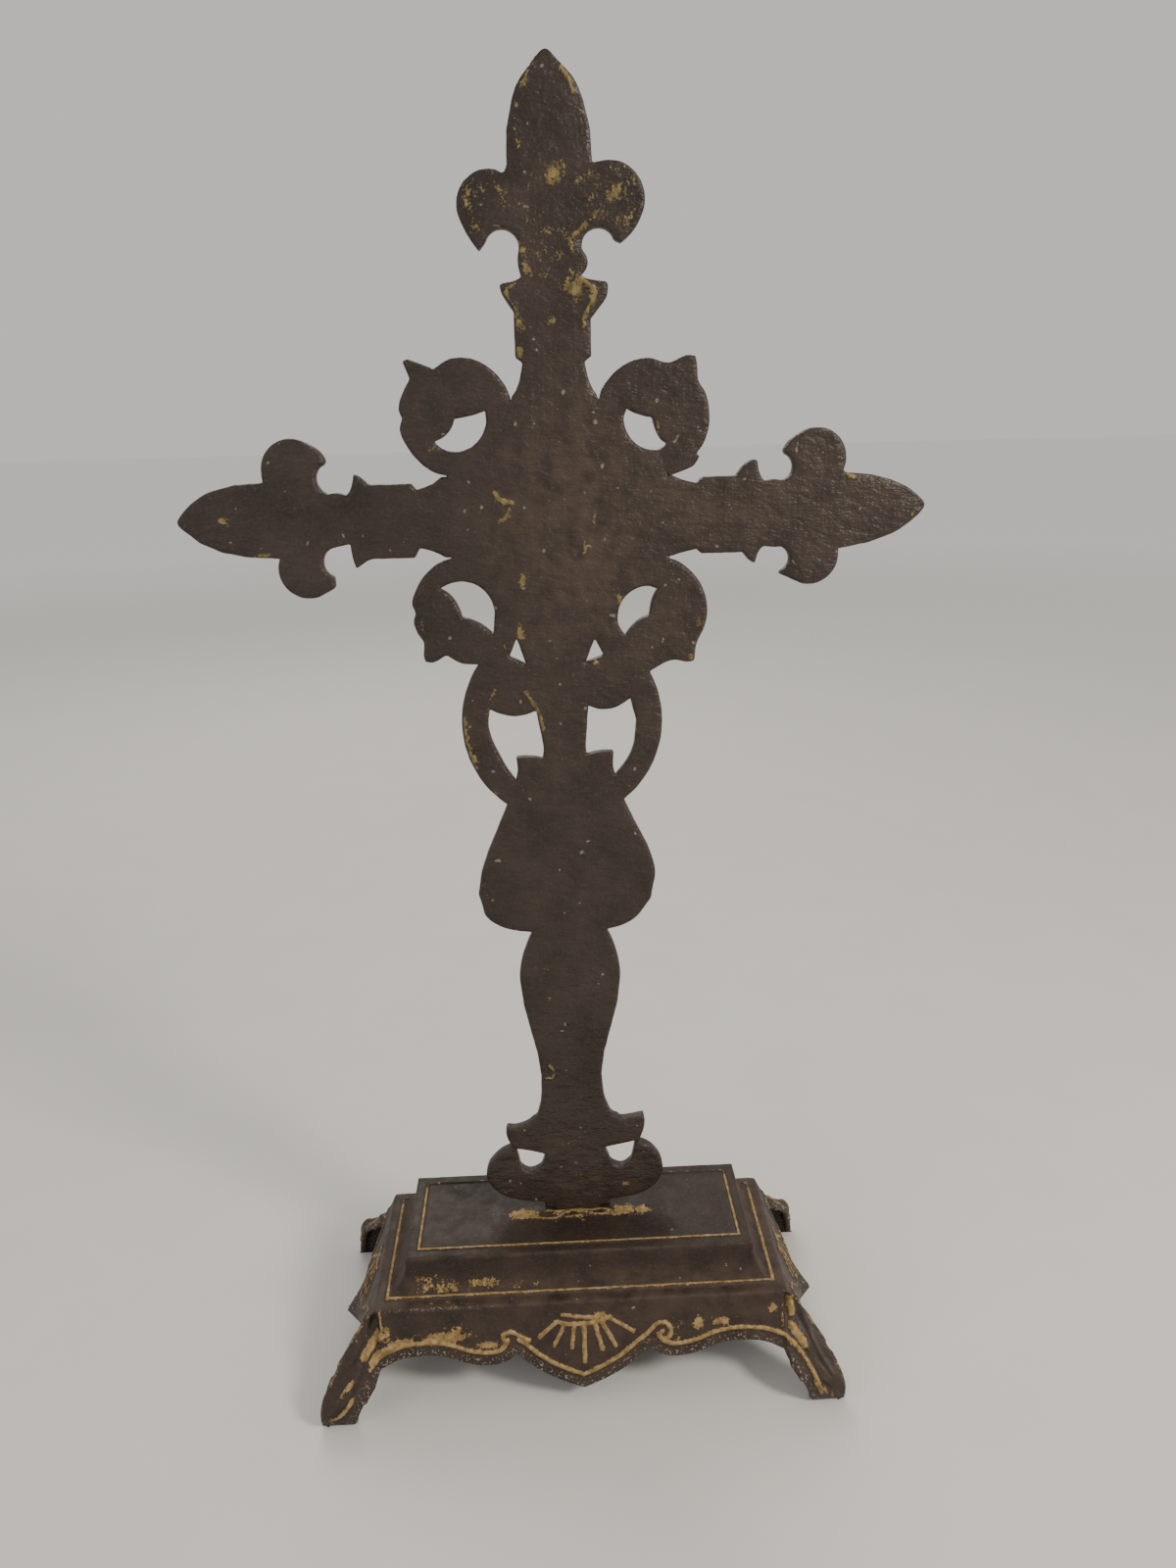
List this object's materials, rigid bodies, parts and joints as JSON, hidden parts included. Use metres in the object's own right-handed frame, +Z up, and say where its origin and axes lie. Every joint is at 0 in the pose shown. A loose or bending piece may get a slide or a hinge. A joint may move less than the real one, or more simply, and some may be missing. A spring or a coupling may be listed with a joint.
{
  "type": "table cross",
  "caption": "Cast iron table cross with fleur finials, scrolled corners and a baluster post, standing on a footed moulded base; black with worn gilding.",
  "frame": {"origin": "middle of the footprint on the ground, under the base", "axes": "+Z up the post, +X to the right when the flat back of the cross is seen, +Y towards the relief face"},
  "size_m": [0.2978, 0.123, 0.56],
  "materials": {
    "cross_iron": "dark brown-black casting skin with worn gold flecks",
    "base_iron": "dark brown-black paint with worn gilt lines"
  },
  "bodies": {
    "root": {"cross": "cross_iron", "base": "base_iron"}
  },
  "joints": []
}
